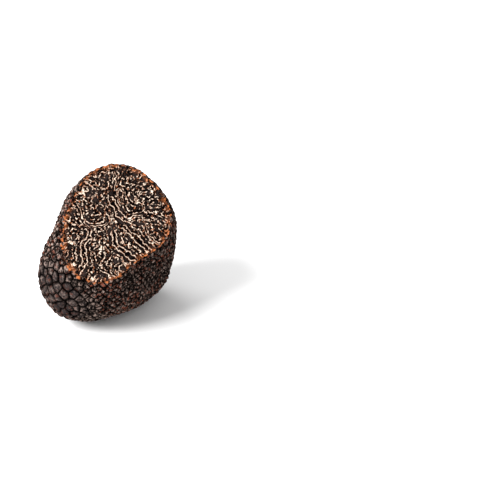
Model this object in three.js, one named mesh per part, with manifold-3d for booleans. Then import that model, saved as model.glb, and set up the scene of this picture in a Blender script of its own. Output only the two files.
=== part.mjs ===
// A black truffle as it comes to the kitchen bench: one knobbly fruiting body with a side sliced off,
// lying on a small flat spot. It grew as one piece, so it is one solid.
//
// Millimetres, +Z up. The origin is on the surface that the truffle lies on, under the middle of its box.
// The cut looks to the front, which is -Y, and upwards. A bearing is 0 at the front and 90 at +X, and a
// height is the angle above the horizontal, both in degrees and seen from the middle of the body.
//
// The body is a turned ellipsoid with broad swells and hollows. Its skin is covered with warts: the sphere of
// directions is divided into cells round scattered points, and each cell is raised as a low pyramid with one
// facet to each side, so the cell borders form the net of grooves between the warts.

import * as THREE from "three";
import { ConvexHull } from "three/addons/math/ConvexHull.js";
import { mergeVertices } from "three/addons/utils/BufferGeometryUtils.js";
import Module from "manifold-3d";

// Body
const LONG_RADIUS = 29.2;
const SHORT_RADIUS = 25.5;
const UPRIGHT_RADIUS = 27.5;
const LONG_BEARING = 140; // the long axis runs from the front left to the back right
const MIDDLE = new THREE.Vector3(1.66, -1.96, 26.6);
const SWELLS = [
  { bearing: -60, height: -40, rise: 5, tightness: 4 }, // bulge low at the front left
  { bearing: 180, height: 60, rise: 7, tightness: 4 }, // crown
  { bearing: 85, height: 30, rise: 8, tightness: 4 }, // shoulder to the right of the cut
  { bearing: 50, height: 5, rise: -7, tightness: 4 }, // long hollow below the cut
  { bearing: 90, height: 0, rise: -4.5, tightness: 4 },
  { bearing: 110, height: 40, rise: -4.5, tightness: 4 },
  { bearing: 0, height: -60, rise: -3.5, tightness: 4 }, // undercut towards the flat spot
  { bearing: 10, height: -10, rise: -1.5, tightness: 4 },
  { bearing: -30, height: 10, rise: -1.5, tightness: 4 },
  { bearing: -75, height: 45, rise: -1.5, tightness: 4 }, // left flank, in four shallow hollows
  { bearing: -45, height: 30, rise: -2, tightness: 10 },
  { bearing: -100, height: 15, rise: -4, tightness: 10 },
  { bearing: -120, height: 60, rise: -1.5, tightness: 10 },
  { bearing: 160, height: -45, rise: 3, tightness: 6 }, // heel that the flat spot runs back to
  { bearing: 145, height: 15, rise: 2.5, tightness: 14 }, // knob at the back
  { bearing: -155, height: 0, rise: -3, tightness: 12 }, // pit at the back, where the roots held it
  { bearing: -115, height: -20, rise: 2, tightness: 12 }, // knob behind the left flank
];
const DIMPLES = { count: 70, rise: 0.7, tightness: 60 }; // small rises and dips all over, at random

// Cut and flat spot
const CUT_BEARING = 15;
const CUT_HEIGHT = 50;
const CUT_DISTANCE = 15; // from the middle of the body to the cut
const BLOCK_SIDE = 160; // of the blocks that take the slice and the flat spot away

// Warts
const WARTS = 1900; // on the whole body, before the cut
const SCATTER = 0.4; // how far a wart's point strays, as a share of the spacing
const RELAXED = 0.4; // how far each point then moves to the middle of its cell
const BIG_WARTS = { bearing: -45, height: -12, share: 0.42, tightness: 6 }; // where the warts are largest
const SHORTEST_SIDE = 0.3; // a shorter side of a wart closes to a corner
const TOP_SHARE = 0.28; // height of a wart's top over its radius
const GROOVE_DEPTH = 0.4;

const GOLDEN_ANGLE = Math.PI * (3 - Math.sqrt(5));
const DIMPLE_DRAWS = 9000; // the first random draw that the dimples use
const SLOPE_STEP = 1e-3; // radians, for the slope of the body

// The unit vector at a bearing and a height in degrees.
function direction(bearing, height) {
  const b = THREE.MathUtils.degToRad(bearing);
  const h = THREE.MathUtils.degToRad(height);
  return new THREE.Vector3(Math.sin(b) * Math.cos(h), -Math.cos(b) * Math.cos(h), Math.sin(h));
}

// A fixed draw from 0 to 1 for each whole number.
function chance(number) {
  let h = Math.imul(number ^ 0x9e3779b9, 0x85ebca6b);
  h ^= h >>> 13;
  h = Math.imul(h, 0xc2b2ae35);
  h ^= h >>> 16;
  return (h >>> 0) / 2 ** 32;
}

// Unit vectors spread evenly over the sphere along a spiral.
function spiral(count) {
  return Array.from({ length: count }, (_, i) => {
    const z = 1 - (2 * i + 1) / count;
    const ring = Math.sqrt(1 - z * z);
    return new THREE.Vector3(ring * Math.cos(i * GOLDEN_ANGLE), ring * Math.sin(i * GOLDEN_ANGLE), z);
  });
}

const longAxis = direction(LONG_BEARING, 0);
const shortAxis = direction(LONG_BEARING + 90, 0);
const swells = [
  ...SWELLS.map((s) => ({ ...s, towards: direction(s.bearing, s.height) })),
  ...spiral(DIMPLES.count).map((towards, i) => ({
    towards,
    rise: DIMPLES.rise * (2 * chance(DIMPLE_DRAWS + i) - 1),
    tightness: DIMPLES.tightness,
  })),
];

// The point of the smooth body in a direction from its middle.
function bodyPoint(towards) {
  const ellipsoid = Math.hypot(
    towards.dot(longAxis) / LONG_RADIUS,
    towards.dot(shortAxis) / SHORT_RADIUS,
    towards.z / UPRIGHT_RADIUS,
  );
  let radius = 1 / ellipsoid;
  for (const s of swells) radius += s.rise * Math.exp(s.tightness * (towards.dot(s.towards) - 1));
  return towards.clone().multiplyScalar(radius).add(MIDDLE);
}

// Two unit vectors across a direction.
function across(towards) {
  const first = Math.abs(towards.z) < 0.9 ? new THREE.Vector3(0, 0, 1) : new THREE.Vector3(1, 0, 0);
  const u = first.cross(towards).normalize();
  return [u, towards.clone().cross(u)];
}

// The smooth body's point in a direction, moved out along the body's own slope.
function raisedPoint(towards, rise) {
  const [u, v] = across(towards);
  const here = bodyPoint(towards);
  const alongU = bodyPoint(towards.clone().addScaledVector(u, SLOPE_STEP).normalize()).sub(here);
  const alongV = bodyPoint(towards.clone().addScaledVector(v, SLOPE_STEP).normalize()).sub(here);
  return here.addScaledVector(alongU.cross(alongV).normalize(), rise);
}

// The warts' points: a spiral's, each strayed at random, and pushed apart where the warts are large.
function scatteredPoints() {
  const spacing = Math.sqrt((4 * Math.PI) / WARTS);
  const large = direction(BIG_WARTS.bearing, BIG_WARTS.height);
  return spiral(WARTS).map((p, i) => {
    const [u, v] = across(p);
    p.addScaledVector(u, (2 * chance(2 * i) - 1) * SCATTER * spacing);
    p.addScaledVector(v, (2 * chance(2 * i + 1) - 1) * SCATTER * spacing);
    p.normalize();
    const near = Math.exp(BIG_WARTS.tightness * (p.dot(large) - 1));
    return p.addScaledVector(large, -BIG_WARTS.share * near).normalize();
  });
}

// The cells round the points: each hull triangle of the points gives the corner where three cells meet, and
// each hull edge gives the side between two cells.
function cellsOf(points) {
  const numberOf = new Map(points.map((p, i) => [p, i]));
  const { faces } = new ConvexHull().setFromPoints(points);
  const faceNumber = new Map(faces.map((face, i) => [face, i]));
  const corners = faces.map((face) => face.normal.clone().normalize());
  const sides = [];
  for (const face of faces) {
    let edge = face.edge;
    do {
      const [a, b] = [numberOf.get(edge.tail().point), numberOf.get(edge.head().point)];
      if (a < b) sides.push({ a, b, left: faceNumber.get(face), right: faceNumber.get(edge.twin.face) });
      edge = edge.next;
    } while (edge !== face.edge);
  }
  return { corners, sides };
}

// Each point moved part of the way to the middle of its cell's corners.
function relaxed(points) {
  const { corners, sides } = cellsOf(points);
  const sums = points.map(() => new THREE.Vector3());
  for (const { a, b, left, right } of sides)
    for (const n of [a, b]) sums[n].add(corners[left]).add(corners[right]);
  return points.map((p, i) => p.clone().lerp(sums[i].normalize(), RELAXED).normalize());
}

// Corners joined by a side that is too short become one, in their middle.
function closeShortSides(corners, sides) {
  const leader = corners.map((_, i) => i);
  const lead = (i) => (leader[i] === i ? i : (leader[i] = lead(leader[i])));
  const places = corners.map(bodyPoint);
  for (const { left, right } of sides)
    if (places[left].distanceTo(places[right]) < SHORTEST_SIDE) leader[lead(left)] = lead(right);
  const sums = corners.map(() => new THREE.Vector3());
  corners.forEach((c, i) => sums[lead(i)].add(c));
  return corners.map((_, i) => ({ number: lead(i), towards: sums[lead(i)].clone().normalize() }));
}

// The warty body before it is cut: one triangle from each wart's top to each of its sides.
function wartyGeometry() {
  const points = relaxed(scatteredPoints());
  const { corners, sides } = cellsOf(points);
  const closed = closeShortSides(corners, sides);
  const reach = points.map(() => ({ sum: 0, count: 0 }));
  const places = closed.map((c) => bodyPoint(c.towards));
  const tops = points.map(bodyPoint);
  for (const { a, b, left, right } of sides)
    for (const n of [a, b])
      for (const c of [left, right]) {
        reach[n].sum += tops[n].distanceTo(places[c]);
        reach[n].count += 1;
      }
  const peaks = points.map((p, i) => raisedPoint(p, (TOP_SHARE * reach[i].sum) / reach[i].count));
  const grooves = closed.map((c) => raisedPoint(c.towards, -GROOVE_DEPTH));
  const vertices = [];
  for (const { a, b, left, right } of sides) {
    if (closed[left].number === closed[right].number) continue;
    vertices.push(peaks[a], grooves[right], grooves[left], peaks[b], grooves[left], grooves[right]);
  }
  return new THREE.BufferGeometry().setFromPoints(vertices);
}

// A block on the far side of a plane, to cut a body with: the plane passes through the point.
function blockBeyond(point, outwards) {
  const block = new THREE.BoxGeometry(BLOCK_SIDE, BLOCK_SIDE, BLOCK_SIDE).translate(0, 0, BLOCK_SIDE / 2);
  const turn = new THREE.Quaternion().setFromUnitVectors(new THREE.Vector3(0, 0, 1), outwards);
  return block.applyQuaternion(turn).translate(point.x, point.y, point.z);
}

const wasm = await Module();
wasm.setup();

// A closed geometry as a solid that can be cut.
function solidOf(geometry) {
  const bare = new THREE.BufferGeometry().setAttribute("position", geometry.getAttribute("position"));
  if (geometry.index) bare.setIndex(geometry.index);
  const merged = mergeVertices(bare, 1e-4);
  return new wasm.Manifold(
    new wasm.Mesh({
      numProp: 3,
      vertProperties: merged.getAttribute("position").array,
      triVerts: new Uint32Array(merged.index.array),
    }),
  );
}

// A cut solid as a geometry again.
function geometryOf(solid) {
  const { numProp, numVert, vertProperties, triVerts } = solid.getMesh();
  const positions = new Float32Array(numVert * 3);
  for (let i = 0; i < numVert; i++)
    positions.set(vertProperties.subarray(i * numProp, i * numProp + 3), i * 3);
  const geometry = new THREE.BufferGeometry();
  geometry.setAttribute("position", new THREE.BufferAttribute(positions, 3));
  geometry.setIndex(new THREE.BufferAttribute(new Uint32Array(triVerts), 1));
  geometry.computeVertexNormals();
  return geometry;
}

const cutOutwards = direction(CUT_BEARING, CUT_HEIGHT);
const cutPoint = MIDDLE.clone().addScaledVector(cutOutwards, CUT_DISTANCE);
const slice = solidOf(blockBeyond(cutPoint, cutOutwards));
const bench = solidOf(blockBeyond(new THREE.Vector3(), new THREE.Vector3(0, 0, -1)));
const body = solidOf(wartyGeometry()).subtract(slice).subtract(bench);

const truffle = new THREE.Mesh(
  geometryOf(body),
  new THREE.MeshStandardMaterial({ color: 0x2e2420, roughness: 0.75, metalness: 0 }),
);
truffle.name = "truffle";

const group = new THREE.Group();
group.add(truffle);

export default group;
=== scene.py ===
"""A black truffle with a side sliced off: its warty skin and its veined flesh, dressed over the solid.

Lengths are in metres in the part's own frame, +Z up, with the cut looking to the front, -Y, and upwards.
A bearing is 0 at the front and 90 at +X, and a height is the angle above the horizontal, both in degrees
and seen from the middle of the body.
"""

from math import cos, pi, radians, sin

import bmesh
import bpy
import numpy as np
from bpy.props import FloatProperty, FloatVectorProperty, IntProperty, PointerProperty
from bpy.types import Operator, Panel, PropertyGroup
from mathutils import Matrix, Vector


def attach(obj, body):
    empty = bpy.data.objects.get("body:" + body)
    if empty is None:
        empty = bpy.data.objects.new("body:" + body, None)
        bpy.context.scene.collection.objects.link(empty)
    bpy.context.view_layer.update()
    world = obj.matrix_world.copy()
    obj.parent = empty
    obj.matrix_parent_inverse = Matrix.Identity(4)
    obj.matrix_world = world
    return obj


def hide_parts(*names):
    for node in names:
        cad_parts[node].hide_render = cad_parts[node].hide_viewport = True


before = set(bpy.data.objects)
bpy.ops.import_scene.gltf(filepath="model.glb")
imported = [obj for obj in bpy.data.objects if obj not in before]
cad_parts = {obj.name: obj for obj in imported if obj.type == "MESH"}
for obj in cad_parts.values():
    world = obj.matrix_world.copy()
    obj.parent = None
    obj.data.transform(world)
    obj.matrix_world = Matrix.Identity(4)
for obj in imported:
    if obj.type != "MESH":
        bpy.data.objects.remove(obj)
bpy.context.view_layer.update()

bl_info = {
    "name": "Cut Truffle",
    "version": (1, 0, 0),
    "blender": (4, 5, 0),
    "location": "View3D > Sidebar > Truffle",
    "description": "Builds a cut black truffle: its warty skin, its veined cut face and its stage",
    "category": "Add Mesh",
}

MM = 0.001
NODE = "truffle"

# The body: a turned ellipsoid with broad swells and hollows
MIDDLE = np.array([1.66, -1.96, 26.6]) * MM
LONG_BEARING = 140
SWELLS = (  # bearing, height, rise in millimetres, tightness
    (-60, -40, 5, 4),
    (180, 60, 7, 4),
    (85, 30, 8, 4),
    (50, 5, -7, 4),
    (90, 0, -4.5, 4),
    (110, 40, -4.5, 4),
    (0, -60, -3.5, 4),
    (10, -10, -1.5, 4),
    (-30, 10, -1.5, 4),
    (-75, 45, -1.5, 4),
    (-45, 30, -2, 10),
    (-100, 15, -4, 10),
    (-120, 60, -1.5, 10),
    (160, -45, 3, 6),
    (145, 15, 2.5, 14),
    (-155, 0, -3, 12),
    (-115, -20, 2, 12),
)
DIMPLES = {"count": 70, "rise": 0.7 * MM, "tightness": 60, "first_draw": 9000}
GOLDEN_ANGLE = pi * (3 - 5**0.5)
SLOPE_STEP = 1e-3  # radians over the body

# The cut
CUT_BEARING = 15
CUT_HEIGHT = 50
CUT_DISTANCE = 15 * MM

# The warts
SCATTER = 0.4  # how far each wart may stray, as a share of their spacing
RELAXED = 0.4  # how far each then moves to the middle of its cell, as a share of the way
# the warts are spread out round this direction
BIG_WARTS = {"bearing": -45, "height": -12, "share": 0.42, "tightness": 6}
SHORTEST_SIDE = 0.3 * MM
TOP_SHARE = 0.28  # height of a wart's top over its reach
LOWEST_TOP, TOP_RANGE = 0.7, 0.6  # the least factor on that height, and what a draw may add to it
LEAN = 0.5  # how far a draw may tilt a wart's top
ROWS = np.array([0, 0.36, 0.7, 0.9, 1])  # of a wart's facets, from its top to its side
CROWN = np.array([1, 0.8, 0.47, 0.18, 0])  # share of the top's height on each row
WALL = np.array([0, 0, 0.06, 0.3, 1.15])  # share of the groove's depth on each row
GROOVE_SHADE = np.array([0, 0.05, 0.42, 1, 1])  # painted shade in the grooves: how dark each row is painted
CUBE_FACTORS = np.array([73856093, 19349663, 83492791])  # they turn a cube's place into one number
COARSE_GRAIN, FINE_GRAIN = 0.9 * MM, 0.45 * MM
FIRST_DRAWS = {"tall": 20000, "lean": 30000, "tone": 40000, "coarse": 500000, "fine": 900000}
LARGE_REACH = (1.1, 1.6)  # over the middle reach, where warts start to look large and where they fully do
WELD = 1e-7  # points nearer than this are one
ON_PLANE = 1e-8  # points nearer than this lie on a cutting plane
SHARP_EDGE = radians(50)

# The veins, worked out on a square over the cut in millimetres: x to the right, y up the slope
SQUARE = 60.0
CELLS = 600
SQUARE_MIDDLE = (0.0, 5.0)
HUB = (-0.5, 5.5)  # the veins run outwards from here
TURNS = ((0.9, 1.8), (0.5, 0.7))  # their random turns in radians, each with its size
SHORT_TURNS = ((0.6, 1.2),)  # what the short veins turn besides
STRAY, STRAY_SIZE = 0.25, 1.0  # how far channels and long veins stray, and the size of their bends
CURVE_STEPS = 80
LINE_ENDS = 0.08  # share of a channel or long vein over which it starts, and ends
PULL, PULL_WIDTH = 3, 1.5  # how strongly and how far off they turn the stripes their own way
CHANNEL_HALF = 0.85
CHANNEL_RISE = 1.6  # height of the stripes over the level in the middle of a channel
CHANNEL_FADE = (0.3, 0.9)  # beyond its half width
LINE_FADE = (0.4, 0.9)  # beyond the middle of a long vein
BOLD_FADE = (0.2, 0.6)  # beyond the middle of any laid-in vein
CHANNELS = (  # dark channels with a pale vein along each side
    ((-8.5, 5), (-9.5, 1.5), (-12, -1), (-12.5, -3.5), (-13, -8), (-15, -11.5)),
    ((0, 3), (-0.5, -0.5), (0, -3.5), (2.5, -6.5), (4.5, -8.5), (7, -10.5)),
    ((3.5, 4), (6, 0.5), (9, -4), (11, -6), (12, -8.5)),
    ((0.5, 16), (2, 12.5), (3, 9), (5.5, 5.5)),
)
LONG_VEINS = (
    ((-12.5, 15.5), (-11, 11), (-10.5, 7), (-8.5, 5)),
    ((-8.5, 5.5), (-3.5, 5.5), (-2, 6.5)),
    ((12, 4.5), (12.5, 0), (14.5, -3.5), (16.5, -5)),
    ((4.5, 27.5), (4, 21.5), (2.5, 19)),
    ((5.5, 12), (5.5, 17.5), (4.5, 18.5), (3.5, 14.5), (4.5, 11.5)),
    ((6, 6.5), (9.5, 7.5), (12.5, 6.5)),
)
STARS = (  # places where the veins swell, with their size
    (-6, -4.5, 1.3),
    (-8.5, 20, 1.0),
    (-6.5, 23.5, 0.9),
    (17, 16.5, 0.8),
    (10.5, 12.5, 0.7),
    (17, 8, 0.8),
    (0, 6.5, 0.9),
    (6.5, 6, 0.8),
    (11, -8, 0.9),
    (-16.5, -0.5, 0.7),
    (-17, -9, 0.7),
    (-4.5, -15, 0.9),
    (-11, -15.5, 0.9),
)
DULL = (  # places where the veins are faint, with their size
    (0.5, 14.5, 5.0),
    (-6, 4, 2.5),
)
LOBE_LEVEL = 0.3  # the flesh is a dark lobe where the stripes are above this
VEIN_HALF = 0.092
SHORT_GAP = (0.4, 0.7)  # short veins keep this far from the edges of the lobes
LEAST_SLOPE = 0.6  # the least slope of the stripes that sets a distance from an edge
ROUNDS = 5  # of sharpening the stripes
SHARPENING = 1.5
WAYS = 8  # filters, spread over half a turn
RING_WIDTH = 0.35  # of the waves that they keep, as a share of the waves of the spacing
BAND_TIGHTNESS, WAY_TIGHTNESS = 2.5, 0.9  # how narrowly each keeps to its way, and is picked by it
FINE, BROAD = 0.25, 1.5  # sizes of the random values that fray the edges and make quiet patches
PATCH, BRIGHT, WARM = 0.5, 0.7, 0.5  # and of those that break up, brighten and bleach the veins
WIDEST_PATCH = 3.0

# The slab that carries the veins
FACE_GRID = 300
FACE_MIDDLE = (1.0, 5.5)  # millimetres on the square
FACE_INSET = 0.3 * MM
FACE_LIFT = 0.05 * MM
FACE_DEPTH = 0.35 * MM
VEIN_RELIEF = 0.03 * MM
RIM_WIDTH = 2 * MM
OUTLINE_STEPS = 1440
WIDEST_REACH = 60 * MM
HALVINGS = 30

# The materials: the grain in waves per metre with its depth, and the scales of noise in waves per metre
SKIN_GRAIN = (900.0, 0.3 * MM)
FLESH_GRAIN = (1100.0, 0.03 * MM)
FLECKS = 780.0
FLECK_PATCHES = 70.0
GROOVE_BREAKS = 300.0
SKIN_RIM_BREAKS = 620.0
FACE_RIM_BREAKS = 420.0
SHADED_RIGHT_SIDE = (-5 * MM, 20 * MM)  # along X, where the painted shade of the skin's right side starts and where it is darkest
SKIN_RIM = (-0.25 * MM, -0.02 * MM)  # height over the cut, where the rim's colour sets in and is full

# The stage
LIGHTS = (  # name, place, side, watts
    ("Key", (-0.68, -0.34, 0.64), 0.5, 18.5),
    ("Fill", (0.5, -0.6, 0.6), 0.6, 1.0),
    ("Back", (-0.4, 0.55, 0.6), 0.5, 4.0),
)
LIT_POINT = (0, 0, 30 * MM)
VIEWED_POINT = (51.16 * MM, -1.96 * MM, 31.3 * MM)
LENS = 100  # millimetres, as is the sensor's width
SENSOR = 36


def srgb(r, g, b):
    """A screen colour, 0 to 255, as linear light."""
    c = np.array([r, g, b]) / 255
    return tuple(np.where(c <= 0.04045, c / 12.92, ((c + 0.055) / 1.055) ** 2.4))


class TruffleBody(PropertyGroup):
    """Size of the whole body"""

    long_radius: FloatProperty(
        name="Long radius", description="Half the length of the body before its swells", default=29.2 * MM,
        min=0.005, unit="LENGTH", precision=4,
    )
    short_radius: FloatProperty(
        name="Short radius", description="Half the width of the body before its swells", default=25.5 * MM,
        min=0.005, unit="LENGTH", precision=4,
    )
    upright_radius: FloatProperty(
        name="Upright radius", description="Half the height of the body before its swells", default=27.5 * MM,
        min=0.005, unit="LENGTH", precision=4,
    )


class TruffleSkin(PropertyGroup):
    """Relief and colours of the skin"""

    warts: IntProperty(
        name="Warts", description="Number of warts on the whole body, before the cut", default=1900, min=100,
    )
    groove_depth: FloatProperty(
        name="Groove depth", description="How far the grooves lie below the smooth body", default=0.4 * MM,
        min=0, unit="LENGTH", precision=5,
    )
    grain: FloatProperty(
        name="Grain", description="Height of the fine roughness on the warts", default=0.15 * MM,
        min=0, unit="LENGTH", precision=5,
    )
    # painted highlights as well as paler skin: the skin has no specular, so this colour stands in for its
    # highlights
    pale_skin_and_highlight_colour: FloatVectorProperty(
        name="Wart tops", description="Colour of the tops of the warts", subtype="COLOR",
        default=srgb(162, 141, 131), min=0, max=1,
    )
    large_colour: FloatVectorProperty(
        name="Large warts", description="Colour that evens out the largest warts", subtype="COLOR",
        default=srgb(54, 48, 48), min=0, max=1,
    )
    # the skin's near-black, also used as painted shade in the grooves and on the +X side
    black_and_shade_colour: FloatVectorProperty(
        name="Grooves", description="Colour between the warts", subtype="COLOR",
        default=srgb(7, 5, 5), min=0, max=1,
    )
    fleck_colour: FloatVectorProperty(
        name="Flecks", description="Colour of the reddish flecks on the skin", subtype="COLOR",
        default=srgb(122, 68, 52), min=0, max=1,
    )
    rim_colour: FloatVectorProperty(
        name="Cut rim", description="Colour of the skin where it is cut through", subtype="COLOR",
        default=srgb(186, 108, 62), min=0, max=1,
    )


class TruffleFlesh(PropertyGroup):
    """Pattern and colours of the cut face"""

    vein_spacing: FloatProperty(
        name="Vein spacing", description="Distance from one dark lobe to the next", default=3.3 * MM,
        min=0.0005, unit="LENGTH", precision=5,
    )
    seed: IntProperty(name="Seed", description="Which run of random veins", default=11, min=0)
    flesh_colour: FloatVectorProperty(
        name="Flesh", description="Colour of the ripe flesh", subtype="COLOR",
        default=srgb(53, 44, 42), min=0, max=1,
    )
    border_colour: FloatVectorProperty(
        name="Vein borders", description="Colour of the dark borders beside the veins", subtype="COLOR",
        default=srgb(4, 3, 4), min=0, max=1,
    )
    vein_colour: FloatVectorProperty(
        name="Veins", description="Colour in the middle of the wide veins", subtype="COLOR",
        default=srgb(252, 240, 220), min=0, max=1,
    )
    thin_vein_colour: FloatVectorProperty(
        name="Vein edges", description="Colour of thin veins and of the edges of wide ones", subtype="COLOR",
        default=srgb(150, 84, 46), min=0, max=1,
    )


class TruffleStage(PropertyGroup):
    """Floor, light and camera"""

    floor_side: FloatProperty(
        name="Floor side", description="Side of the square floor", default=6.0, min=0.5, unit="LENGTH",
    )
    floor_colour: FloatVectorProperty(
        name="Floor", description="Colour of the floor", subtype="COLOR", default=(0.9, 0.9, 0.9),
        min=0, max=1,
    )
    room_light: FloatProperty(
        name="Room light", description="Strength of the even light from all round", default=0.64, min=0,
    )
    camera_distance: FloatProperty(
        name="Camera distance", description="From the camera to the point it looks at", default=0.513,
        min=0.1, unit="LENGTH",
    )
    camera_height: FloatProperty(
        name="Camera height", description="Angle of the camera above the horizontal", default=radians(30),
        subtype="ANGLE",
    )


# Points of the body

def direction(bearing, height):
    """The unit vector at a bearing and a height in degrees."""
    b, h = radians(bearing), radians(height)
    return np.array([sin(b) * cos(h), -cos(b) * cos(h), sin(h)])


def unit(vectors):
    """Each vector over its own length."""
    return vectors / np.linalg.norm(vectors, axis=-1, keepdims=True)


def chance(numbers):
    """A fixed draw from 0 to 1 for each whole number: its bits are stirred by two products and two shifts."""
    with np.errstate(over="ignore"):
        h = (np.asarray(numbers).astype(np.uint32) ^ np.uint32(0x9E3779B9)) * np.uint32(0x85EBCA6B)
        h ^= h >> np.uint32(13)
        h *= np.uint32(0xC2B2AE35)
        h ^= h >> np.uint32(16)
    return h / 2.0**32


def spiral(count):
    """Unit vectors along a spiral: heights in equal steps, each turned a golden angle past the last."""
    i = np.arange(count)
    z = 1 - (2 * i + 1) / count
    ring = np.sqrt(1 - z * z)
    return np.stack([ring * np.cos(i * GOLDEN_ANGLE), ring * np.sin(i * GOLDEN_ANGLE), z], -1)


def all_swells():
    """Direction, rise and tightness of each broad swell and each dimple."""
    broad = [(direction(b, h), rise * MM, tightness) for b, h, rise, tightness in SWELLS]
    count = DIMPLES["count"]
    rises = DIMPLES["rise"] * (2 * chance(DIMPLES["first_draw"] + np.arange(count)) - 1)
    return broad + [(d, r, DIMPLES["tightness"]) for d, r in zip(spiral(count), rises)]


def body_points(towards):
    """Points of the smooth body in unit directions from its middle: the ellipsoid's radius there, plus for
    each swell its rise times e to the power of tightness times (cosine of the angle to the swell less 1)."""
    body = bpy.context.scene.truffle_body
    radius = 1 / np.sqrt(
        (towards @ direction(LONG_BEARING, 0) / body.long_radius) ** 2
        + (towards @ direction(LONG_BEARING + 90, 0) / body.short_radius) ** 2
        + (towards[..., 2] / body.upright_radius) ** 2
    )
    for swell, rise, tightness in all_swells():
        radius = radius + rise * np.exp(tightness * (towards @ swell - 1))
    return MIDDLE + radius[..., None] * towards


def across(towards):
    """Two unit vectors across each direction."""
    first = np.where(np.abs(towards[..., 2:]) < 0.9, (0.0, 0.0, 1.0), (1.0, 0.0, 0.0))
    u = unit(np.cross(first, towards))
    return u, np.cross(towards, u)


def raised_points(towards, rise):
    """The smooth body's points, each moved out by its rise along the body's own slope, which is the cross
    product of two short steps over the body."""
    u, v = across(towards)
    here = body_points(towards)
    along_u = body_points(unit(towards + SLOPE_STEP * u)) - here
    along_v = body_points(unit(towards + SLOPE_STEP * v)) - here
    return here + unit(np.cross(along_u, along_v)) * rise[..., None]


# Cells and facets of the warts

def wart_points(count):
    """The warts' directions: a spiral's, each strayed at random, and spread out where the warts are
    large."""
    spacing = np.sqrt(4 * pi / count)
    p = spiral(count)
    u, v = across(p)
    i = np.arange(count)
    p = p + u * ((2 * chance(2 * i) - 1) * SCATTER * spacing)[:, None]
    p = unit(p + v * ((2 * chance(2 * i + 1) - 1) * SCATTER * spacing)[:, None])
    large = direction(BIG_WARTS["bearing"], BIG_WARTS["height"])
    near = np.exp(BIG_WARTS["tightness"] * (p @ large - 1))
    return unit(p - BIG_WARTS["share"] * near[:, None] * large)


def hull_triangles(points):
    """The triangles of the points' convex hull, each turned to face outwards."""
    mesh = bpy.data.meshes.new("hull")
    mesh.vertices.add(len(points))
    mesh.vertices.foreach_set("co", points.ravel())
    hull = bmesh.new()
    hull.from_mesh(mesh)
    bmesh.ops.convex_hull(hull, input=hull.verts)
    hull.to_mesh(mesh)
    hull.free()
    corners = np.empty(len(mesh.loops), dtype=np.int32)
    mesh.loops.foreach_get("vertex_index", corners)
    triangles = corners.reshape(-1, 3).copy()
    bpy.data.meshes.remove(mesh)
    a, b, c = (points[triangles[:, n]] for n in range(3))
    inwards = np.einsum("ij,ij->i", np.cross(b - a, c - a), a) < 0
    triangles[inwards] = triangles[inwards][:, ::-1]
    return triangles


def cells_of(points):
    """The cells round the points: the corners, one for each hull triangle, and for each side of each cell
    the cell's number and the numbers of the corners at its right and left, seen from the cell."""
    triangles = hull_triangles(points)
    a, b, c = (points[triangles[:, n]] for n in range(3))
    corners = unit(np.cross(b - a, c - a))
    start = triangles.ravel()
    end = np.roll(triangles, -1, axis=1).ravel()
    left = np.repeat(np.arange(len(triangles)), 3)
    key = start.astype(np.int64) * len(points) + end
    back = end.astype(np.int64) * len(points) + start
    order = np.argsort(key)
    right = left[order[np.searchsorted(key[order], back)]]
    return corners, start, right, left


def relaxed(points):
    """Each point moved part of the way to the middle of its cell's corners."""
    corners, cell, right, left = cells_of(points)
    middle = np.zeros_like(points)
    np.add.at(middle, cell, corners[left] + corners[right])
    return unit(points + RELAXED * (unit(middle) - points))


def close_short_sides(corners, right, left):
    """Corners joined by a side that is too short become one, in their middle."""
    places = body_points(corners)
    short = np.linalg.norm(places[right] - places[left], axis=1) < SHORTEST_SIDE
    leader = np.arange(len(corners))
    settled = False
    while not settled:
        lower = leader.copy()
        np.minimum.at(lower, right[short], leader[left[short]])
        np.minimum.at(lower, left[short], leader[right[short]])
        settled = bool((lower == leader).all())
        leader = lower
    joined = np.zeros_like(corners)
    np.add.at(joined, leader, corners)
    return unit(joined[leader]), leader


def grain(points, size, first_draw):
    """Smooth random values from -1 to 1 in space: draws at the corners of cubes of a size, blended across
    each cube by a weight of 3 squares less 2 cubes of the way."""
    place = points / size
    base = np.floor(place).astype(np.int64)
    way = place - base
    way = way * way * (3 - 2 * way)
    total = np.zeros(len(points))
    for dx in (0, 1):
        for dy in (0, 1):
            for dz in (0, 1):
                number = (base + (dx, dy, dz)) @ CUBE_FACTORS
                draw = chance((number + first_draw) & 0xFFFFFFFF)
                weight = np.abs(1 - dx - way[:, 0]) * np.abs(1 - dy - way[:, 1]) * np.abs(1 - dz - way[:, 2])
                total += draw * weight
    return 2 * total - 1


def facet_grid():
    """The two parameters of one facet, the row from a wart's top to its side and the way along the row,
    and the triangles between them: row n has n steps, so the rows widen from the top."""
    last = len(ROWS) - 1
    row = np.concatenate([np.full(n + 1, n) for n in range(last + 1)])
    way = np.concatenate([np.arange(n + 1) / max(n, 1) for n in range(last + 1)])
    first = np.concatenate([[0], np.cumsum(np.arange(1, last + 2))])
    out = [(first[n] + j, first[n + 1] + j, first[n + 1] + j + 1) for n in range(last) for j in range(n + 1)]
    back = [(first[n] + j, first[n + 1] + j + 1, first[n] + j + 1) for n in range(last) for j in range(n)]
    return row, way, np.array(out + back)


def wart_reach(points, corners, cell, right, left):
    """The middle distance from each wart's top to the corners of its cell, over the smooth body."""
    tops, ends = body_points(points)[cell], body_points(corners)
    reach = np.linalg.norm(tops - ends[left], axis=1)
    reach += np.linalg.norm(tops - ends[right], axis=1)
    return np.bincount(cell, reach) / (2 * np.bincount(cell))


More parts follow.
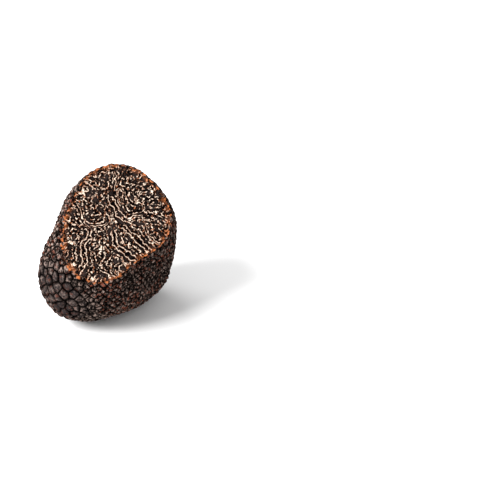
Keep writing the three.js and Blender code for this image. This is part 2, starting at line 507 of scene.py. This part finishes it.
def wart_surface(skin):
    """All warts as facets on the grid of row and way: the direction goes from the wart's top to the point
    of its side that is that way along, and the height from the crown to the bottom of the groove, with a
    tilt that fades by the fourth power of the row, and with grain. Returns the points, the triangles and
    the marks of each point: how deep in a groove it is, its wart's own tone, its grain, and how large its
    wart is."""
    points = relaxed(wart_points(skin.warts))
    corners, cell, right, left = cells_of(points)
    corners, leader = close_short_sides(corners, right, left)
    reach = wart_reach(points, corners, cell, right, left)
    open_side = leader[right] != leader[left]
    cell, right, left = cell[open_side], right[open_side], left[open_side]

    row, way, facet = facet_grid()
    out = ROWS[row][None, :, None]
    along = way[None, :, None]
    side = corners[right][:, None] * (1 - along) + corners[left][:, None] * along
    towards = unit(points[cell][:, None] * (1 - out) + side * out)

    number = np.arange(len(points))
    tall = LOWEST_TOP + TOP_RANGE * chance(FIRST_DRAWS["tall"] + number)
    lean = LEAN * np.stack([chance(FIRST_DRAWS["lean"] + 3 * number + n) - 0.5 for n in range(3)], -1)
    tone = chance(FIRST_DRAWS["tone"] + number)
    crown = (TOP_SHARE * reach * tall)[cell][:, None] * CROWN[row]
    tilt = np.einsum("pk,pnk->pn", lean[cell], towards - points[cell][:, None])
    tilt = tilt * MIDDLE[2] * (1 - ROWS[row] ** 4)
    towards = towards.reshape(-1, 3)
    rise = (crown + tilt - skin.groove_depth * WALL[row]).ravel()
    smooth = body_points(towards)
    rough = grain(smooth, COARSE_GRAIN, FIRST_DRAWS["coarse"])
    rough = rough + 0.5 * grain(smooth, FINE_GRAIN, FIRST_DRAWS["fine"])
    rise = rise + skin.grain * rough
    count = len(cell)
    triangles = (np.arange(count)[:, None, None] * len(row) + facet).reshape(-1, 3)
    marks = {
        "groove": np.tile(GROOVE_SHADE[row], count),
        "wart": np.where(ROWS[row] < 1, tone[cell][:, None], 0.5).ravel(),
        "rough": rough,
        "large": eased(reach / np.median(reach), *LARGE_REACH)[cell].repeat(len(row)),
    }
    return raised_points(towards, rise), triangles, marks


def new_mesh(name, points, faces, marks):
    """A mesh from arrays of points, faces and named values at the points."""
    mesh = bpy.data.meshes.new(name)
    mesh.from_pydata(points, [], faces)
    for mark, values in marks.items():
        attribute = mesh.attributes.new(mark, "FLOAT", "POINT")
        attribute.data.foreach_set("value", np.ascontiguousarray(values, dtype=np.float32))
    return mesh


def split_at(shell, point, outwards):
    """Edges cut where they cross a plane, so that the cut's edge is clean."""
    geometry = shell.verts[:] + shell.edges[:] + shell.faces[:]
    plane = {"plane_co": Vector(point), "plane_no": Vector(outwards)}
    bmesh.ops.bisect_plane(shell, geom=geometry, dist=ON_PLANE, **plane)


def flattened(points, point, outwards):
    """Points beyond a plane brought back to it, each along its own line to the middle of the body."""
    way = points - MIDDLE
    beyond = way @ outwards
    limit = (point - MIDDLE) @ outwards
    share = np.where(beyond > limit, limit / np.maximum(beyond, 1e-9), 1)
    return MIDDLE + way * share[:, None]


def cut_plane():
    """A point of the cut and its outward direction."""
    outwards = direction(CUT_BEARING, CUT_HEIGHT)
    return MIDDLE + CUT_DISTANCE * outwards, outwards


def add_piece(mesh, material):
    """A mesh as a piece that rides with the truffle and stands for its node."""
    mesh.materials.append(material)
    piece = bpy.data.objects.new(mesh.name, mesh)
    bpy.context.scene.collection.objects.link(piece)
    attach(piece, "root")
    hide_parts(NODE)
    return piece


# The veins and the slab

def slope_axes():
    """The cut's own axes: to the right, and up the slope."""
    outwards = direction(CUT_BEARING, CUT_HEIGHT)
    right = unit(np.cross((0.0, 0.0, 1.0), outwards))
    return right, np.cross(outwards, right)


def cut_reach(angles):
    """How far the smooth body reaches over the cut from the face's middle at each angle, by halving."""
    point, _ = cut_plane()
    right, up = slope_axes()
    start = point + (FACE_MIDDLE[0] * right + FACE_MIDDLE[1] * up) * MM
    way = np.cos(angles)[:, None] * right + np.sin(angles)[:, None] * up
    low, high = np.zeros(len(angles)), np.full(len(angles), WIDEST_REACH)
    for _ in range(HALVINGS):
        middle = (low + high) / 2
        out = start + middle[:, None] * way - MIDDLE
        length = np.linalg.norm(out, axis=1)
        inside = length < np.linalg.norm(body_points(out / length[:, None]) - MIDDLE, axis=1)
        low, high = np.where(inside, middle, low), np.where(inside, high, middle)
    return low


def disc_grid(count):
    """A square grid laid over a disc: the radius is the larger of the two parameters, and the angle goes
    by the ratio of the smaller to the larger, an eighth of a turn for each half side."""
    line = np.linspace(-1, 1, count + 1)
    u, v = np.meshgrid(line, line, indexing="xy")
    wide = np.abs(u) >= np.abs(v)
    radius = np.where(wide, u, v)
    safe = np.where(radius == 0, 1, radius)
    angle = np.where(wide, pi / 4 * v / safe, pi / 2 - pi / 4 * u / safe)
    return radius * np.cos(angle), radius * np.sin(angle)


def wave_numbers():
    """Waves per millimetre along each axis of the square, as their length and their bearing."""
    k = np.fft.fftfreq(CELLS, SQUARE / CELLS)
    kx, ky = np.meshgrid(np.abs(k[: CELLS // 2 + 1]), k, indexing="xy")
    return np.hypot(kx, ky), np.arctan2(ky, kx)


def filtered(values, weights):
    """Values on the square with each wave in them multiplied by its weight."""
    return np.fft.irfft2(np.fft.rfft2(values) * weights, s=values.shape)


def soft_noise(draws, size, widest=SQUARE):
    """Random values on the square with a spread of 1, smoothed over a size and evened out over the widest
    patch that stays, both in millimetres."""
    length, _ = wave_numbers()
    kept = np.exp(-((2 * length * size) ** 2)) * (1 - np.exp(-((length * widest) ** 2)))
    values = filtered(draws.standard_normal((CELLS, CELLS)), kept)
    return values / values.std()


def through(points, count):
    """A smooth curve through the points, by cubics whose slope at each is half the step past it."""
    p = np.asarray(points, dtype=float)
    p = np.vstack([2 * p[0] - p[1], p, 2 * p[-1] - p[-2]])
    t = np.linspace(0, len(p) - 3 - 1e-9, count)
    i = t.astype(int)
    u = (t - i)[:, None]
    a, b, c, d = p[i], p[i + 1], p[i + 2], p[i + 3]
    return 0.5 * (2 * b + (c - a) * u + (2 * a - 5 * b + 4 * c - d) * u**2 + (3 * b - a - 3 * c + d) * u**3)


def distance_to(curve, x, y):
    """For each place on the square: the distance to a curve, and there, twice the curve's bearing and how
    far along it is, from 0 to 1."""
    best = np.full(x.shape, SQUARE)
    nearest = np.zeros(x.shape, dtype=int)
    for n, (px, py) in enumerate(curve):
        d = np.hypot(x - px, y - py)
        closer = d < best
        best[closer] = d[closer]
        nearest[closer] = n
    step = np.gradient(curve, axis=0)
    return best, (2 * np.arctan2(step[:, 1], step[:, 0]))[nearest], nearest / (len(curve) - 1)


def eased(values, low, high):
    """0 below low, 1 above high, and a smooth rise between."""
    t = np.clip((values - low) / (high - low), 0, 1)
    return t * t * (3 - 2 * t)


def stripes(draws, run, spacing, laid):
    """Winding stripes on the square, from about -1.5 to 1.5: random values sharpened again and again by
    filters that keep waves of the spacing, each place taking most from the filter whose stripes run its own
    way. Shapes that are laid in, each with its share, are put back in every round, so the stripes join
    them."""
    length, bearing = wave_numbers()
    ring = np.exp(-(((length * spacing - 1) / RING_WIDTH) ** 2))
    near = np.exp(-((2 * spacing * length) ** 2))

    def evened(values):
        """Values over their spread nearby."""
        return values / np.sqrt(np.maximum(filtered(values * values, near), 1e-9))

    def with_laid(values):
        """Values with the laid-in shapes put back."""
        for shape, share in laid:
            values = values * (1 - share) + shape * share
        return values

    values = draws.standard_normal((CELLS, CELLS))
    for _ in range(ROUNDS):
        values = with_laid(np.tanh(SHARPENING * evened(values)))
        waves = np.fft.rfft2(values)
        kept, total = np.zeros_like(values), np.zeros_like(values)
        for stripe in pi * np.arange(WAYS) / WAYS:
            band = ring * np.exp(-BAND_TIGHTNESS * np.cos(bearing - stripe) ** 2)
            weight = np.exp(WAY_TIGHTNESS * np.cos(2 * (run - stripe)))
            kept += weight * np.fft.irfft2(waves * band, s=values.shape)
            total += weight
        values = kept / total
    return with_laid(evened(values))


def wander(draws, turns):
    """Random turns on the square, added up from turns of a strength and a size each."""
    return sum(strength * soft_noise(draws, size) for strength, size in turns)


def course(draws, x, y):
    """The way the stripes run at each place on the square: outwards from the hub with random turns, and
    along the channels and the long veins. Returns their bearing, the shapes to be laid into them with their
    shares, the distance to the nearest long vein, and from 0 to 1 how near a channel's side or a long vein
    is. Bearings are added as vectors of twice their angle, so that opposite ways count as one."""
    turn = wander(draws, TURNS)
    bent_x, bent_y = (place + STRAY * soft_noise(draws, STRAY_SIZE) for place in (x, y))
    double = 2 * (np.arctan2(y - HUB[1], x - HUB[0]) + turn)
    east, north = np.cos(double), np.sin(double)
    laid, lines, bold = [], np.full(x.shape, SQUARE), np.zeros(x.shape)
    for points, is_channel in [(p, True) for p in CHANNELS] + [(p, False) for p in LONG_VEINS]:
        away, along, way = distance_to(through(points, CURVE_STEPS), bent_x, bent_y)
        pull = PULL * np.exp(-((away / PULL_WIDTH) ** 2))
        east += pull * np.cos(along)
        north += pull * np.sin(along)
        ends = eased(way, 0, LINE_ENDS) * (1 - eased(way, 1 - LINE_ENDS, 1))
        if is_channel:
            shape = LOBE_LEVEL + CHANNEL_RISE * (1 - away / CHANNEL_HALF)
            low, high = (CHANNEL_HALF + fade for fade in CHANNEL_FADE)
            laid.append((shape, ends * (1 - eased(away, low, high))))
            from_vein = np.abs(away - CHANNEL_HALF)
        else:
            laid.append((np.full(x.shape, -1.0), ends * (1 - eased(away, *LINE_FADE))))
            lines = np.minimum(lines, away + 2 * (1 - ends))
            from_vein = away
        bold = np.maximum(bold, ends * (1 - eased(from_vein, *BOLD_FADE)))
    return 0.5 * np.arctan2(north, east), laid, lines, bold


def bells(places, x, y):
    """The highest of the bells over the places: e to the power of less the squared distance over size."""
    return np.max([np.exp(-(((x - px) ** 2 + (y - py) ** 2) / size**2)) for px, py, size in places], axis=0)


def flesh_marks(flesh):
    """Maps on the square: how strongly a vein shows, how pale it is, how dark the flesh beside it is, and
    the tone of the flesh. Broad stripes are cut at a level into dark lobes and brown ground, and a vein runs
    along every lobe's edge, where the distance to the edge is the stripes' height above the level over their
    slope. Short veins from finer stripes lie in the ground, and are fewer in the quiet patches. The veins
    widen and bleach at the swellings, fade at the dull places, and stay strong along the laid-in lines."""
    draws = np.random.default_rng(flesh.seed)
    spacing = flesh.vein_spacing / MM
    line = (np.arange(CELLS) + 0.5) * SQUARE / CELLS - SQUARE / 2
    x, y = np.meshgrid(line + SQUARE_MIDDLE[0], line + SQUARE_MIDDLE[1], indexing="xy")
    run, laid, lines, bold = course(draws, x, y)
    lobes = stripes(draws, run, spacing, laid)
    bits = stripes(draws, run + wander(draws, SHORT_TURNS), 0.5 * spacing, [])
    fine, broad = (soft_noise(draws, size) for size in (FINE, BROAD))
    patch, bright, warm = (soft_noise(draws, size, WIDEST_PATCH) for size in (PATCH, BRIGHT, WARM))
    quiet = eased(broad, 0.5, 1.3)
    star, dull = bells(STARS, x, y), bells(DULL, x, y)

    inside = lobes - LOBE_LEVEL - 0.12 * fine - 0.5 * patch * (1 - bold)
    slope = np.hypot(*np.gradient(inside, SQUARE / CELLS))
    from_edge = np.minimum(np.abs(inside) / np.maximum(slope, LEAST_SLOPE), lines)
    wide = 1 + 0.5 * bright * (1 - 0.7 * bold) + 0.25 * fine + 1.3 * star + 0.2 * bold
    width = VEIN_HALF * np.clip(wide, 0.3, 3)

    few = 1.42 + 0.4 * bright + 0.5 * quiet - 0.5 * star
    short_veins = eased(bits, few - 0.3, few + 0.15)
    short_veins *= 1 - eased(inside, -0.8, -0.2)
    short_veins *= eased(from_edge, *SHORT_GAP)
    short_veins = np.maximum(short_veins, eased(star + 0.3 * fine, 0.9, 1.1))

    veins = np.maximum(1 - eased(from_edge, 0.6 * width, 1.8 * width), short_veins)
    hearts = np.maximum(1 - eased(from_edge, 0.5 * width, 1.3 * width), short_veins)
    strength = np.clip(0.5 + 0.6 * bright - 0.3 * quiet - 0.25 * dull + star, 0, 1)
    strength = np.maximum(strength, 0.85 * bold)
    pale = np.maximum(np.clip(0.78 + 0.45 * warm + star, 0, 1), 0.7 * bold)
    length, _ = wave_numbers()
    around = filtered(veins, np.exp(-((1.6 * length) ** 2)))
    border = np.maximum(np.clip(10 * around, 0, 1), eased(inside, -0.25, 0.05))
    return {
        "vein": veins * np.clip(1.45 * strength + 0.1, 0, 1),
        "heart": hearts * pale,
        "border": border * (1 - 0.4 * quiet * (1 - bold)),
        "tone": np.clip(0.5 + 0.2 * fine + 0.14 * broad, 0, 1),
    }


def sampled(values, x, y):
    """Values of a map on the square at places in millimetres, blended between its four nearest cells."""
    cx = np.clip((x - SQUARE_MIDDLE[0] + SQUARE / 2) * CELLS / SQUARE - 0.5, 0, CELLS - 1.001)
    cy = np.clip((y - SQUARE_MIDDLE[1] + SQUARE / 2) * CELLS / SQUARE - 0.5, 0, CELLS - 1.001)
    i, j = cx.astype(int), cy.astype(int)
    u, v = cx - i, cy - j
    low = values[j, i] * (1 - u) + values[j, i + 1] * u
    high = values[j + 1, i] * (1 - u) + values[j + 1, i + 1] * u
    return low * (1 - v) + high * v


def face_surface(flesh):
    """The cut face as a thin closed slab: its top is the disc grid stretched to the body's outline on the
    cut, with the veins a hair proud, and a skirt and a fan of the rim's points close it below. Returns the
    points, the faces and the marks of each point: the maps, and how near the rim is."""
    angles = np.linspace(-pi, pi, OUTLINE_STEPS + 1)
    outline = cut_reach(angles) - FACE_INSET
    u, v = disc_grid(FACE_GRID)
    angle = np.arctan2(v, u)
    full = np.interp(angle, angles, outline)
    reach = full * np.hypot(u, v)
    x = FACE_MIDDLE[0] * MM + reach * np.cos(angle)
    y = FACE_MIDDLE[1] * MM + reach * np.sin(angle)
    maps = flesh_marks(flesh)
    marks = {name: sampled(values, x / MM, y / MM).ravel() for name, values in maps.items()}
    marks["rim"] = (1 - eased(full * (1 - np.hypot(u, v)), 0, RIM_WIDTH)).ravel()
    point, outwards = cut_plane()
    right, up = slope_axes()
    lift = FACE_LIFT + VEIN_RELIEF * marks["vein"]
    top = point + x.ravel()[:, None] * right + y.ravel()[:, None] * up + lift[:, None] * outwards
    side = FACE_GRID + 1
    ids = np.arange(side * side).reshape(side, side)
    quads = np.stack([ids[:-1, :-1], ids[:-1, 1:], ids[1:, 1:], ids[1:, :-1]], -1).reshape(-1, 4)
    edge = np.concatenate([ids[0, :-1], ids[:-1, -1], ids[-1, :0:-1], ids[:0:-1, 0]])
    below = top[edge] - (lift[edge] + FACE_DEPTH)[:, None] * outwards
    under = len(top) + np.arange(len(edge))
    heart = len(top) + len(edge)
    points = np.vstack([top, below, below.mean(axis=0)])
    skirt = np.stack([edge, under, np.roll(under, -1), np.roll(edge, -1)], -1)
    fan = np.stack([under, np.full(len(under), heart), np.roll(under, -1)], -1)
    for name, values in marks.items():
        marks[name] = np.concatenate([values, values[edge], [0.0]])
    return points, quads.tolist() + skirt.tolist() + fan.tolist(), marks


# Materials

class Nodes:
    """Short calls that add nodes to a tree and link them."""

    def __init__(self, tree):
        self.tree = tree

    def add(self, kind, settings=(), **inputs):
        """A new node with its settings, and its inputs fed by name."""
        node = self.tree.nodes.new(kind)
        for name, value in dict(settings).items():
            setattr(node, name, value)
        for name, value in inputs.items():
            self.feed(node.inputs[name.replace("_", " ")], value)
        return node

    def feed(self, socket, value):
        """A link when the value is a socket, and else a number or a colour on the socket."""
        if isinstance(value, bpy.types.NodeSocket):
            self.tree.links.new(value, socket)
        else:
            socket.default_value = value

    def mark(self, name):
        """A value that the mesh carries at its points."""
        return self.add("ShaderNodeAttribute", {"attribute_name": name}).outputs["Fac"]

    def math(self, operation, a, b, clamp):
        node = self.add("ShaderNodeMath", {"operation": operation, "use_clamp": clamp})
        self.feed(node.inputs[0], a)
        self.feed(node.inputs[1], b)
        return node.outputs[0]

    def plus(self, a, b, clamp=False):
        return self.math("ADD", a, b, clamp)

    def times(self, a, b):
        return self.math("MULTIPLY", a, b, False)

    def between(self, operation, a, b):
        """A vector node over two vectors."""
        node = self.add("ShaderNodeVectorMath", {"operation": operation})
        self.feed(node.inputs[0], a)
        self.feed(node.inputs[1], b)
        return node

    def blend(self, share, a, b):
        """The first colour going over into the second by a share."""
        node = self.add("ShaderNodeMix", {"data_type": "RGBA"})
        self.feed(node.inputs[0], share)
        self.feed(node.inputs[6], a)
        self.feed(node.inputs[7], b)
        return node.outputs[2]

    def window(self, value, low, high, start=0.0, end=1.0):
        """From start to end while a value goes from low to high, and level outside."""
        node = self.add("ShaderNodeMapRange", Value=value)
        for name, number in (("From Min", low), ("From Max", high), ("To Min", start), ("To Max", end)):
            node.inputs[name].default_value = number
        return node.outputs["Result"]

    def place(self):
        return self.add("ShaderNodeTexCoord").outputs["Object"]

    def noise(self, scale, detail=3.0, roughness=0.55):
        """Noise in space, with the scale in waves per metre."""
        waves = {"Scale": scale, "Detail": detail, "Roughness": roughness}
        return self.add("ShaderNodeTexNoise", Vector=self.place(), **waves).outputs["Fac"]


def solid(colour):
    """A colour with full alpha."""
    return (*colour, 1.0)


def new_group(name, ins, outs):
    """A shader node group with named inputs and outputs."""
    tree = bpy.data.node_groups.new(name, "ShaderNodeTree")
    for label, kind, default in ins:
        socket = tree.interface.new_socket(name=label, in_out="INPUT", socket_type=kind)
        socket.default_value = default
    for label, kind in outs:
        tree.interface.new_socket(name=label, in_out="OUTPUT", socket_type=kind)
    return tree, tree.nodes.new("NodeGroupInput"), tree.nodes.new("NodeGroupOutput")


def fine_grain_group():
    """Fine grain for both materials: a mottling mask from two noises, and a normal from a finer one."""
    ins = [(name, "NodeSocketFloat", value) for name, value in zip(("Size", "Depth"), SKIN_GRAIN)]
    outs = [("Mottle", "NodeSocketFloat"), ("Normal", "NodeSocketVector")]
    tree, given, result = new_group("Fine grain", ins, outs)
    n = Nodes(tree)
    size = given.outputs["Size"]
    mottle = n.plus(n.times(n.noise(size), 0.6), n.times(n.noise(n.times(size, 3.1)), 0.4))
    fine = n.noise(n.times(size, 2.3), 4.0, 0.6)
    bump = n.add("ShaderNodeBump", Strength=1.0, Height=fine, Distance=given.outputs["Depth"])
    n.feed(result.inputs["Mottle"], mottle)
    n.feed(result.inputs["Normal"], bump.outputs["Normal"])
    return tree


def grain_node(n, size, depth):
    """The fine grain in a material: its mottling mask and its normal."""
    group = bpy.data.node_groups.get("Fine grain") or fine_grain_group()
    node = n.add("ShaderNodeGroup", {"node_tree": group})
    node.inputs["Size"].default_value = size
    node.inputs["Depth"].default_value = depth
    return node.outputs["Mottle"], node.outputs["Normal"]


def new_material(name, roughness, specular):
    """A material whose shader has its constants set on its own sockets."""
    material = bpy.data.materials.new(name)
    material.use_nodes = True
    shader = material.node_tree.nodes["Principled BSDF"]
    shader.inputs["Roughness"].default_value = roughness
    shader.inputs["Specular IOR Level"].default_value = specular
    return material, Nodes(material.node_tree), shader


def skin_material(skin):
    """Near-black warts with pale speckles that are partly paler skin and partly painted highlights, the
    largest of them darker and more even, in grooves darkened by painted shade, with reddish flecks and an
    orange-brown rim at the cut. The skin is darker towards +X, which is painted shade, and has more reddish
    flecks there."""
    material, n, shader = new_material("Warty truffle skin", 0.7, 0.0)
    mottle, normal = grain_node(n, *SKIN_GRAIN)
    groove, wart, rough, large = (n.mark(name) for name in ("groove", "wart", "rough", "large"))
    tone = n.plus(mottle, n.window(wart, 0, 1, -0.04, 0.04))
    tone = n.plus(tone, n.times(rough, 0.05))
    middle = tuple(0.12 * c for c in skin.pale_skin_and_highlight_colour)
    top = n.blend(n.window(tone, 0.43, 0.52), solid(skin.black_and_shade_colour), solid(middle))
    # painted highlights: the skin has no specular, so its palest speckles stand in for its highlights as well
    # as for paler skin
    top = n.blend(n.window(tone, 0.51, 0.63), top, solid(skin.pale_skin_and_highlight_colour))
    top = n.blend(n.times(large, 0.6), top, solid(skin.large_colour))

    place = n.place()
    shaded_right_side = n.window(n.add("ShaderNodeSeparateXYZ", Vector=place).outputs["X"], *SHADED_RIGHT_SIDE)
    # painted shade: the skin darkened towards +X, the side the key light reaches less
    top = n.blend(n.times(shaded_right_side, 0.3), top, solid(skin.black_and_shade_colour))
    fleck = n.window(n.noise(FLECKS, 2.0), 0.54, 0.64)
    patch = n.window(n.plus(n.noise(FLECK_PATCHES, 2.0), n.times(shaded_right_side, 0.1)), 0.43, 0.6)
    few = n.window(large, 0, 1, 1, 0.4)
    top = n.blend(n.times(fleck, n.times(patch, few)), top, solid(skin.fleck_colour))
    # painted shade: the grooves darkened towards the near-black, broken here and there by noise
    painted_groove_shade = n.times(groove, n.window(n.noise(GROOVE_BREAKS, 2.0), 0.34, 0.5, 0.9, 1.0))
    colour = n.blend(painted_groove_shade, top, solid(skin.black_and_shade_colour))

    point, outwards = cut_plane()
    from_cut = n.between("SUBTRACT", place, tuple(point)).outputs[0]
    height = n.between("DOT_PRODUCT", from_cut, tuple(outwards)).outputs["Value"]
    rim = n.window(height, *SKIN_RIM)
    fade = n.window(n.noise(SKIN_RIM_BREAKS, 3.0), 0.48, 0.6)
    colour = n.blend(n.times(rim, fade), colour, solid(skin.rim_colour))
    n.feed(shader.inputs["Base Color"], colour)
    n.feed(shader.inputs["Normal"], normal)
    return material


def flesh_material(flesh, skin):
    """Dark ripe flesh with cream veins, tan at their edges, in dark borders, orange-brown at the rim."""
    material, n, shader = new_material("Veined truffle flesh", 0.6, 0.0)
    mottle, normal = grain_node(n, *FLESH_GRAIN)
    tone = n.plus(n.mark("tone"), n.window(mottle, 0.3, 0.7, -0.25, 0.25), clamp=True)
    dark = tuple(0.45 * c for c in flesh.flesh_colour)
    ground = n.blend(tone, solid(dark), solid(flesh.flesh_colour))
    ground = n.blend(n.mark("border"), ground, solid(flesh.border_colour))
    vein = n.blend(n.mark("heart"), solid(flesh.thin_vein_colour), solid(flesh.vein_colour))
    rim = n.mark("rim")
    broken_rim = n.times(rim, n.window(n.noise(FACE_RIM_BREAKS, 2.0), 0.48, 0.62))
    vein = n.blend(n.times(rim, 0.45), vein, solid(skin.rim_colour))
    vein = n.blend(broken_rim, vein, solid(skin.rim_colour))
    ground = n.blend(n.times(broken_rim, 0.3), ground, solid(skin.rim_colour))
    n.feed(shader.inputs["Base Color"], n.blend(n.mark("vein"), ground, vein))
    n.feed(shader.inputs["Normal"], normal)
    return material


class TRUFFLE_OT_skin(Operator):
    """Add the warty skin, cut flat at the face and at the spot it rests on"""

    bl_idname = "truffle.skin"
    bl_label = "Warty skin"

    def execute(self, context):
        skin = context.scene.truffle_skin
        points, triangles, marks = wart_surface(skin)
        mesh = new_mesh("warty_skin", points, triangles, marks)
        point, outwards = cut_plane()
        bench, down = np.zeros(3), np.array([0.0, 0.0, -1.0])
        shell = bmesh.new()
        shell.from_mesh(mesh)
        bmesh.ops.remove_doubles(shell, verts=shell.verts, dist=WELD)
        split_at(shell, point, outwards)
        split_at(shell, bench, down)
        shell.to_mesh(mesh)
        shell.free()
        places = np.empty(3 * len(mesh.vertices))
        mesh.vertices.foreach_get("co", places)
        places = flattened(flattened(places.reshape(-1, 3), point, outwards), bench, down)
        mesh.vertices.foreach_set("co", places.ravel())
        mesh.update()
        mesh.shade_smooth()
        mesh.set_sharp_from_angle(angle=SHARP_EDGE)
        add_piece(mesh, skin_material(skin))
        return {"FINISHED"}


class TRUFFLE_OT_face(Operator):
    """Add the cut face with its veins"""

    bl_idname = "truffle.face"
    bl_label = "Veined cut face"

    def execute(self, context):
        scene = context.scene
        points, faces, marks = face_surface(scene.truffle_flesh)
        mesh = new_mesh("veined_face", points, faces, marks)
        mesh.shade_smooth()
        mesh.set_sharp_from_angle(angle=SHARP_EDGE)
        add_piece(mesh, flesh_material(scene.truffle_flesh, scene.truffle_skin))
        return {"FINISHED"}


def facing(way):
    """The turn that points a lamp or a camera along a vector."""
    return way.to_track_quat("-Z", "Y").to_euler()


class TRUFFLE_OT_stage(Operator):
    """Add the floor, the soft light and the camera"""

    bl_idname = "truffle.stage"
    bl_label = "Stage"

    def execute(self, context):
        scene = context.scene
        stage = scene.truffle_stage
        half = stage.floor_side / 2
        mesh = bpy.data.meshes.new("floor")
        corners = [(-half, -half, 0), (half, -half, 0), (half, half, 0), (-half, half, 0)]
        mesh.from_pydata(corners, [], [(0, 1, 2, 3)])
        material, _, shader = new_material("Pale floor", 0.9, 0.1)
        shader.inputs["Base Color"].default_value = solid(stage.floor_colour)
        mesh.materials.append(material)
        floor = bpy.data.objects.new("floor", mesh)
        scene.collection.objects.link(floor)

        world = bpy.data.worlds.new("Soft room")
        world.use_nodes = True
        background = world.node_tree.nodes["Background"]
        background.inputs["Color"].default_value = (1, 1, 1, 1)
        background.inputs["Strength"].default_value = stage.room_light
        scene.world = world
        for name, place, side, power in LIGHTS:
            light = bpy.data.lights.new(name, "AREA")
            light.size = side
            light.energy = power
            lamp = bpy.data.objects.new(name, light)
            lamp.location = place
            lamp.rotation_euler = facing(Vector(LIT_POINT) - Vector(place))
            scene.collection.objects.link(lamp)

        back = Vector((0, -cos(stage.camera_height), sin(stage.camera_height)))
        view = bpy.data.cameras.new("Camera")
        view.lens = LENS
        view.sensor_width = SENSOR
        view.clip_start = 0.01
        camera = bpy.data.objects.new("Camera", view)
        camera.location = Vector(VIEWED_POINT) + stage.camera_distance * back
        camera.rotation_euler = facing(-back)
        scene.collection.objects.link(camera)
        scene.camera = camera
        scene.view_settings.view_transform = "Standard"
        return {"FINISHED"}


class TRUFFLE_PT_panel(Panel):
    """Lists the truffle's pieces and their settings"""

    bl_idname = "TRUFFLE_PT_panel"
    bl_label = "Cut truffle"
    bl_space_type = "VIEW_3D"
    bl_region_type = "UI"
    bl_category = "Truffle"

    def draw(self, context):
        scene = context.scene
        for operator, group in (
            (TRUFFLE_OT_skin, scene.truffle_skin),
            (TRUFFLE_OT_face, scene.truffle_flesh),
            (TRUFFLE_OT_stage, scene.truffle_stage),
        ):
            box = self.layout.box()
            box.operator(operator.bl_idname)
            for name in group.__annotations__:
                box.prop(group, name)
        for name in TruffleBody.__annotations__:
            self.layout.prop(scene.truffle_body, name)


CLASSES = (
    TruffleBody,
    TruffleSkin,
    TruffleFlesh,
    TruffleStage,
    TRUFFLE_OT_skin,
    TRUFFLE_OT_face,
    TRUFFLE_OT_stage,
    TRUFFLE_PT_panel,
)


def register():
    for cls in CLASSES:
        bpy.utils.register_class(cls)
    bpy.types.Scene.truffle_body = PointerProperty(type=TruffleBody)
    bpy.types.Scene.truffle_skin = PointerProperty(type=TruffleSkin)
    bpy.types.Scene.truffle_flesh = PointerProperty(type=TruffleFlesh)
    bpy.types.Scene.truffle_stage = PointerProperty(type=TruffleStage)


def unregister():
    for name in ("truffle_body", "truffle_skin", "truffle_flesh", "truffle_stage"):
        delattr(bpy.types.Scene, name)
    for cls in reversed(CLASSES):
        bpy.utils.unregister_class(cls)


def main():
    register()
    bpy.ops.truffle.skin()
    bpy.ops.truffle.face()
    bpy.ops.truffle.stage()


if __name__ == "__main__":
    main()
